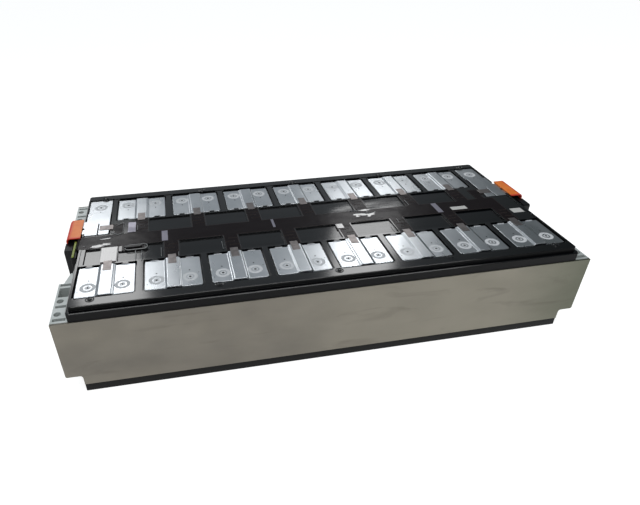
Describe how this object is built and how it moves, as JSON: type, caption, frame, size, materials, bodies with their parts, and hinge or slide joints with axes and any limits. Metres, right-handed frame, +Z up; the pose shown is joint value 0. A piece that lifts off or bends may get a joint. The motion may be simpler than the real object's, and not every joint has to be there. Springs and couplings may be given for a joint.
{
  "type": "traction battery module",
  "caption": "Oblong battery module: a row of prismatic cells between end plates, with welded busbars, a black top tray, a flexible sense circuit and hooded terminals.",
  "frame": {"origin": "centre of the underside of the bottom pan, on the plane the module stands on", "axes": "+X along the row of cells, towards the end without the signal connector; +Y across the row, away from the near side; +Z up"},
  "size_m": [0.59, 0.256, 0.11],
  "materials": {
    "cell_can": "smooth drawn can",
    "spacer_foam": "matte foam",
    "gap_pad": "soft silicone pad",
    "pan_sheet": "rolled sheet",
    "side_sheet": "mottled grey rolled sheet",
    "insulation_film": "thin black film",
    "end_extrusion": "light grey extrusion",
    "busbar_metal": "satin rolled strip",
    "tray_moulding": "glossy black moulding",
    "circuit_film": "dark brown laminated film",
    "nickel_strip": "satin nickel strip",
    "sensor_resin": "glossy black resin",
    "label_paper": "blank white label",
    "base_moulding": "black moulding",
    "insert_steel": "plated steel",
    "hood_orange": "orange moulding",
    "connector_moulding": "black moulding",
    "lock_green": "yellow-green moulding"
  },
  "bodies": {
    "root": {"band_label": "label_paper", "bottom_pan": "pan_sheet", "busbar_tray": "tray_moulding", "cell_01": "cell_can", "cell_02": "cell_can", "cell_03": "cell_can", "cell_04": "cell_can", "cell_05": "cell_can", "cell_06": "cell_can", "cell_07": "cell_can", "cell_08": "cell_can", "cell_09": "cell_can", "cell_10": "cell_can", "cell_11": "cell_can", "cell_12": "cell_can", "cell_13": "cell_can", "cell_14": "cell_can", "cell_15": "cell_can", "cell_16": "cell_can", "cell_spacers": "spacer_foam", "connector_lock": "lock_green", "end_insulator_left": "insulation_film", "end_insulator_right": "insulation_film", "end_plate_left": "end_extrusion", "end_plate_right": "end_extrusion", "far_busbar_1": "busbar_metal", "far_busbar_2": "busbar_metal", "far_busbar_3": "busbar_metal", "far_busbar_4": "busbar_metal", "far_busbar_5": "busbar_metal", "far_busbar_6": "busbar_metal", "far_busbar_7": "busbar_metal", "near_busbar_1": "busbar_metal", "near_busbar_2": "busbar_metal", "near_busbar_3": "busbar_metal", "near_busbar_4": "busbar_metal", "near_busbar_5": "busbar_metal", "near_busbar_6": "busbar_metal", "near_busbar_7": "busbar_metal", "near_busbar_8": "busbar_metal", "output_busbar_left": "busbar_metal", "output_busbar_right": "busbar_metal", "panel_label": "label_paper", "sense_circuit": "circuit_film", "sense_tabs": "nickel_strip", "side_film_far": "insulation_film", "side_film_near": "insulation_film", "side_plate_far": "side_sheet", "side_plate_near": "side_sheet", "signal_connector": "connector_moulding", "temperature_sensor": "sensor_resin", "terminal_base_left": "base_moulding", "terminal_base_right": "base_moulding", "terminal_hood_left": "hood_orange", "terminal_hood_right": "hood_orange", "terminal_insert_left": "insert_steel", "terminal_insert_right": "insert_steel", "thermal_pad": "gap_pad"}
  },
  "joints": []
}
